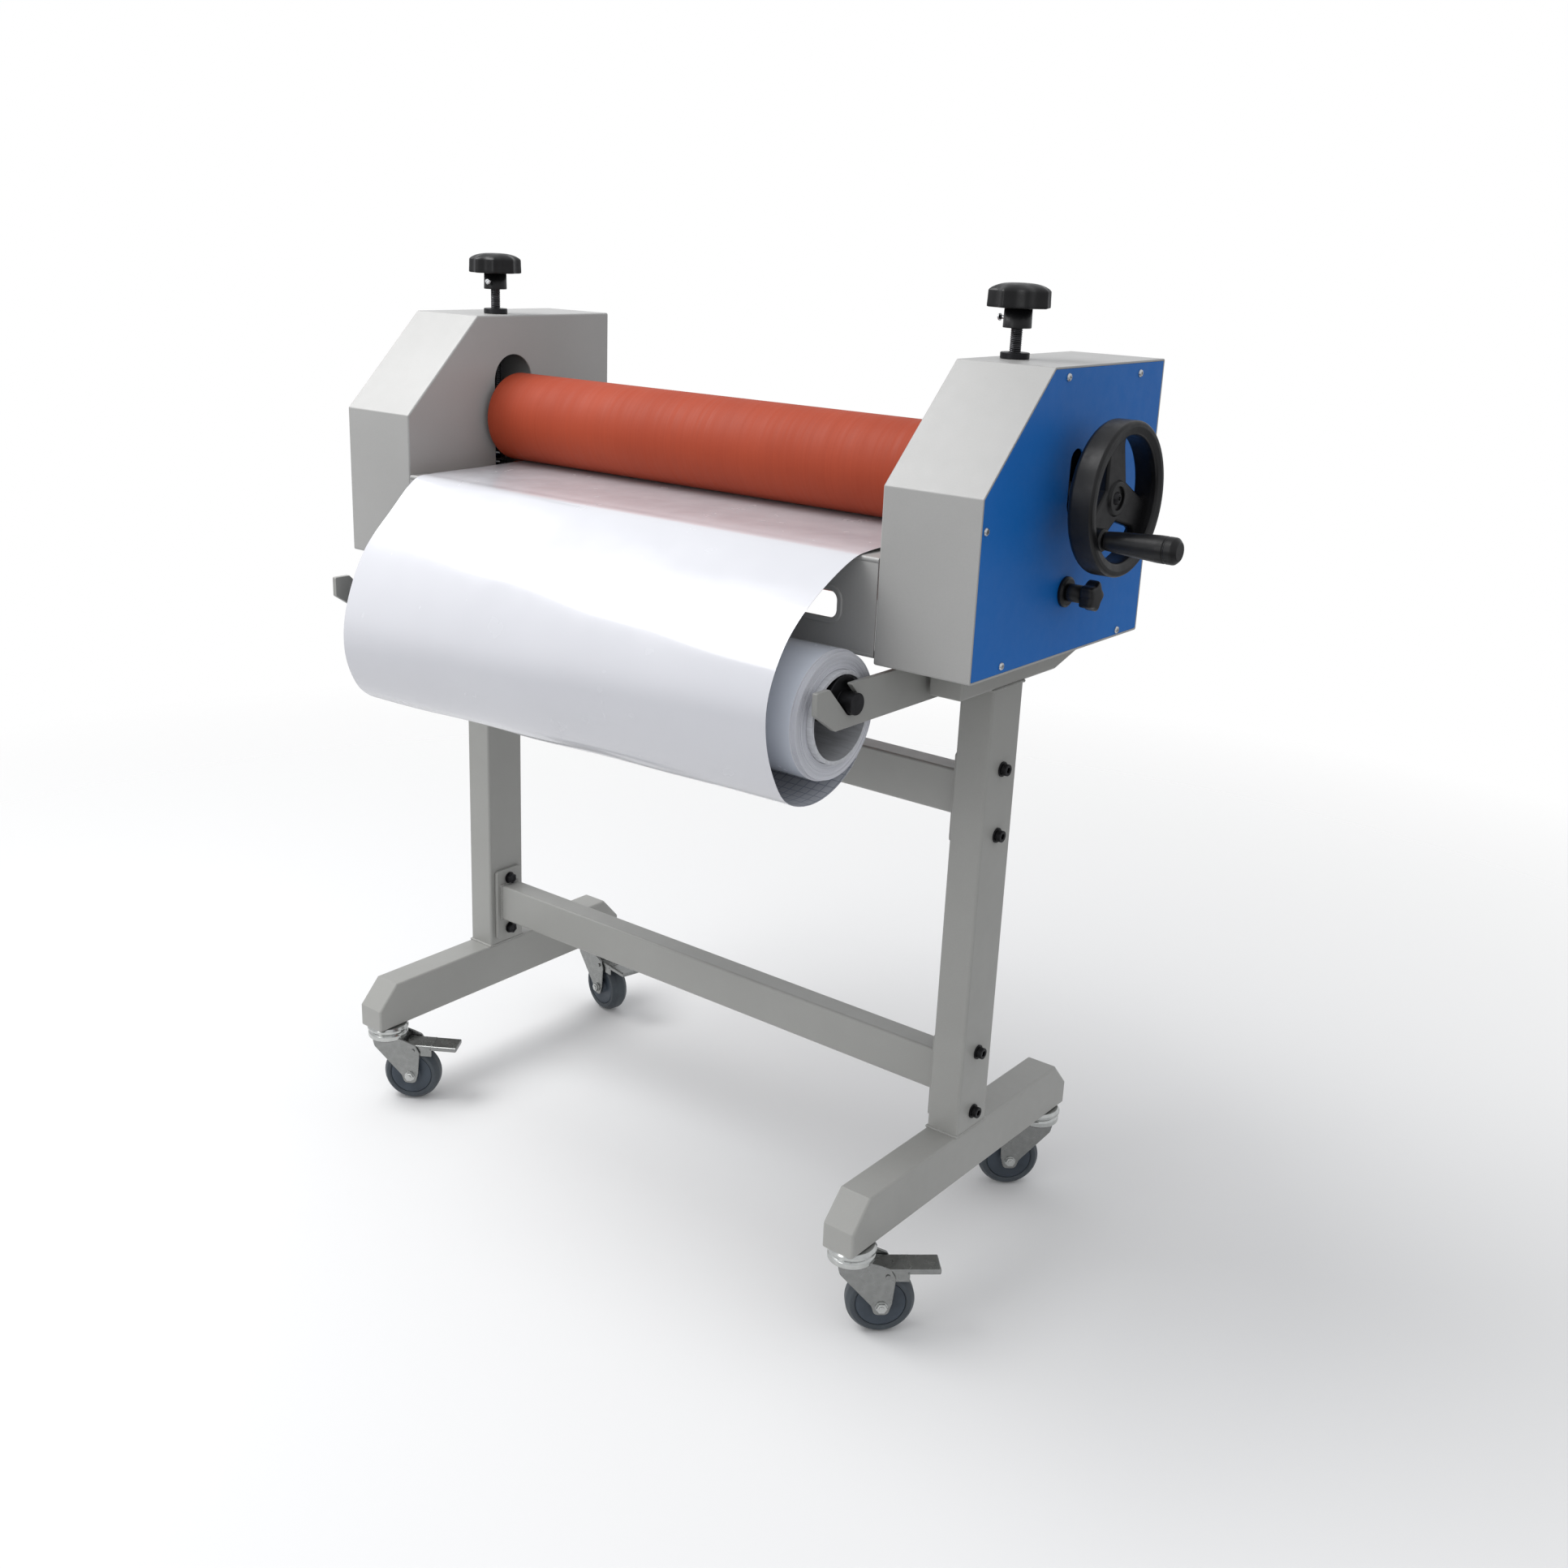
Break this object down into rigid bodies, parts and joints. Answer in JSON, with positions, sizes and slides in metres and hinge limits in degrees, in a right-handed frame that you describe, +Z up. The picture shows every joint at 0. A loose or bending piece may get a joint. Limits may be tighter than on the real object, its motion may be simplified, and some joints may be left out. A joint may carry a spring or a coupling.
{
  "type": "cold roll laminator",
  "caption": "Hand-cranked cold roll laminator on a wheeled stand, with rubber nip rollers between two housings, pressure screws and a film supply roll.",
  "frame": {"origin": "on the floor, under the centre of the whole object's bounding box", "axes": "+X along the rollers towards the handwheel, +Y from the feed side to the delivery side, +Z up"},
  "size_m": [1.036, 0.5382, 1.0818],
  "materials": {
    "grey_powder_coat": "fine-textured warm light grey powder coat, satin",
    "panel_blue": "smooth blue powder coat, satin",
    "roller_rubber": "ground red-orange silicone rubber, matt",
    "bright_steel": "turned steel",
    "bearing_block_iron": "machined cast iron",
    "black_plastic": "black moulded phenolic plastic, semi-matt",
    "black_steel": "black-oxide steel",
    "white_film": "glossy clear film on white release paper",
    "cardboard_core": "grey-white spiral-wound paper tube",
    "zinc_plate": "bright zinc plating",
    "caster_rubber": "blue-grey rubber tread on a plastic wheel"
  },
  "bodies": {
    "stand_and_housings": {"left_leg_frame": "grey_powder_coat", "left_lower_bolt_bottom": "black_steel", "left_lower_bolt_top": "black_steel", "left_upper_bolt_bottom": "black_steel", "left_upper_bolt_top": "black_steel", "left_housing": "grey_powder_coat", "left_end_panel": "panel_blue", "left_bottom_block": "bearing_block_iron", "left_lift_spring": "bright_steel", "left_screw_collar": "black_steel", "left_supply_arm": "grey_powder_coat", "right_leg_frame": "grey_powder_coat", "right_lower_bolt_bottom": "black_steel", "right_lower_bolt_top": "black_steel", "right_upper_bolt_bottom": "black_steel", "right_upper_bolt_top": "black_steel", "right_housing": "grey_powder_coat", "right_end_panel": "panel_blue", "right_bottom_block": "bearing_block_iron", "right_lift_spring": "bright_steel", "right_screw_collar": "black_steel", "right_supply_arm": "grey_powder_coat", "lower_crossbar": "grey_powder_coat", "upper_crossbar": "grey_powder_coat", "front_table": "grey_powder_coat", "rear_table": "grey_powder_coat", "star_knob_flange": "black_plastic", "film_web": "white_film", "front_left_caster_plate": "zinc_plate", "front_right_caster_plate": "zinc_plate", "rear_left_caster_plate": "zinc_plate", "rear_right_caster_plate": "zinc_plate"},
    "pressure_carriage": {"left_top_block": "bearing_block_iron", "right_top_block": "bearing_block_iron"},
    "left_screw_and_knob": {"left_pressure_screw": "bright_steel", "left_pressure_knob": "black_plastic"},
    "right_screw_and_knob": {"right_pressure_screw": "bright_steel", "right_pressure_knob": "black_plastic"},
    "top_roller": {"top_roller_sleeve": "roller_rubber", "top_roller_shaft": "bright_steel", "handwheel": "black_plastic"},
    "crank_grip": {"crank_handle": "black_plastic"},
    "bottom_roller": {"bottom_roller_sleeve": "roller_rubber", "bottom_roller_shaft": "bright_steel", "star_knob": "black_plastic"},
    "supply_bar": {"supply_shaft": "black_steel"},
    "film_supply": {"film_core": "cardboard_core", "film_roll": "white_film"},
    "front_left_caster_swivel": {"front_left_caster_fork": "zinc_plate"},
    "front_left_caster_roller": {"front_left_caster_wheel": "caster_rubber"},
    "front_left_caster_brake": {"front_left_caster_pedal": "zinc_plate"},
    "front_right_caster_swivel": {"front_right_caster_fork": "zinc_plate"},
    "front_right_caster_roller": {"front_right_caster_wheel": "caster_rubber"},
    "front_right_caster_brake": {"front_right_caster_pedal": "zinc_plate"},
    "rear_left_caster_swivel": {"rear_left_caster_fork": "zinc_plate"},
    "rear_left_caster_roller": {"rear_left_caster_wheel": "caster_rubber"},
    "rear_left_caster_brake": {"rear_left_caster_pedal": "zinc_plate"},
    "rear_right_caster_swivel": {"rear_right_caster_fork": "zinc_plate"},
    "rear_right_caster_roller": {"rear_right_caster_wheel": "caster_rubber"},
    "rear_right_caster_brake": {"rear_right_caster_pedal": "zinc_plate"}
  },
  "joints": [
    {"name": "left_knob_turn", "type": "hinge", "parent": "pressure_carriage", "child": "left_screw_and_knob", "pos_m": [-0.439, 0.04807, 1.06], "axis": [0, 0, 1], "range_deg": [0, 4320]},
    {"name": "right_knob_turn", "type": "hinge", "parent": "pressure_carriage", "child": "right_screw_and_knob", "pos_m": [0.303, 0.04807, 1.06], "axis": [0, 0, 1], "range_deg": [0, 4320]},
    {"name": "top_roller_lift", "type": "slide", "parent": "stand_and_housings", "child": "pressure_carriage", "axis": [0, 0, 1], "range_m": [0, 0.021], "deforming": ["left_lift_spring", "right_lift_spring"]},
    {"name": "top_roller_spin", "type": "hinge", "parent": "pressure_carriage", "child": "top_roller", "pos_m": [-0.068, 0.04807, 0.8884], "axis": [1, 0, 0], "continuous": true},
    {"name": "bottom_roller_spin", "type": "hinge", "parent": "stand_and_housings", "child": "bottom_roller", "pos_m": [-0.068, 0.04807, 0.79], "axis": [1, 0, 0], "continuous": true},
    {"name": "crank_grip_spin", "type": "hinge", "parent": "top_roller", "child": "crank_grip", "pos_m": [0.472, 0.00537, 0.8544], "axis": [1, 0, 0], "continuous": true},
    {"name": "supply_bar_turn", "type": "hinge", "parent": "stand_and_housings", "child": "supply_bar", "pos_m": [-0.068, -0.17343, 0.6985], "axis": [1, 0, 0], "continuous": true},
    {"name": "film_roll_spin", "type": "hinge", "parent": "stand_and_housings", "child": "film_supply", "pos_m": [-0.068, -0.17343, 0.6813], "axis": [1, 0, 0], "continuous": true},
    {"name": "front_left_swivel", "type": "hinge", "parent": "stand_and_housings", "child": "front_left_caster_swivel", "pos_m": [-0.447, -0.15293, 0.092], "axis": [0, 0, 1], "continuous": true},
    {"name": "front_left_wheel_spin", "type": "hinge", "parent": "front_left_caster_swivel", "child": "front_left_caster_roller", "pos_m": [-0.41932, -0.13496, 0.0375], "axis": [-0.5446, 0.8387, 0], "continuous": true},
    {"name": "front_left_brake", "type": "hinge", "parent": "front_left_caster_swivel", "child": "front_left_caster_brake", "pos_m": [-0.41513, -0.13224, 0.075], "axis": [-0.5446, 0.8387, 0], "range_deg": [0, 10]},
    {"name": "front_right_swivel", "type": "hinge", "parent": "stand_and_housings", "child": "front_right_caster_swivel", "pos_m": [0.311, -0.15293, 0.092], "axis": [0, 0, 1], "continuous": true},
    {"name": "front_right_wheel_spin", "type": "hinge", "parent": "front_right_caster_swivel", "child": "front_right_caster_roller", "pos_m": [0.33552, -0.13085, 0.0375], "axis": [-0.6691, 0.7431, 0], "continuous": true},
    {"name": "front_right_brake", "type": "hinge", "parent": "front_right_caster_swivel", "child": "front_right_caster_brake", "pos_m": [0.33924, -0.12751, 0.075], "axis": [-0.6691, 0.7431, 0], "range_deg": [0, 10]},
    {"name": "rear_left_swivel", "type": "hinge", "parent": "stand_and_housings", "child": "rear_left_caster_swivel", "pos_m": [-0.447, 0.24107, 0.092], "axis": [0, 0, 1], "continuous": true},
    {"name": "rear_left_wheel_spin", "type": "hinge", "parent": "rear_left_caster_swivel", "child": "rear_left_caster_roller", "pos_m": [-0.41472, 0.23421, 0.0375], "axis": [0.2079, 0.9781, 0], "continuous": true},
    {"name": "rear_left_brake", "type": "hinge", "parent": "rear_left_caster_swivel", "child": "rear_left_caster_brake", "pos_m": [-0.40983, 0.23317, 0.075], "axis": [0.2079, 0.9781, 0], "range_deg": [0, 10]},
    {"name": "rear_right_swivel", "type": "hinge", "parent": "stand_and_housings", "child": "rear_right_caster_swivel", "pos_m": [0.311, 0.24107, 0.092], "axis": [0, 0, 1], "continuous": true},
    {"name": "rear_right_wheel_spin", "type": "hinge", "parent": "rear_right_caster_swivel", "child": "rear_right_caster_roller", "pos_m": [0.28648, 0.21899, 0.0375], "axis": [0.6691, -0.7431, 0], "continuous": true},
    {"name": "rear_right_brake", "type": "hinge", "parent": "rear_right_caster_swivel", "child": "rear_right_caster_brake", "pos_m": [0.28276, 0.21564, 0.075], "axis": [0.6691, -0.7431, 0], "range_deg": [0, 10]}
  ],
  "couplings": [
    {"joint": "left_knob_turn", "follows": "top_roller_lift", "rad_per_m": 3590.4},
    {"joint": "right_knob_turn", "follows": "top_roller_lift", "rad_per_m": 3590.4},
    {"joint": "bottom_roller_spin", "follows": "top_roller_spin", "ratio": -1.2045}
  ]
}
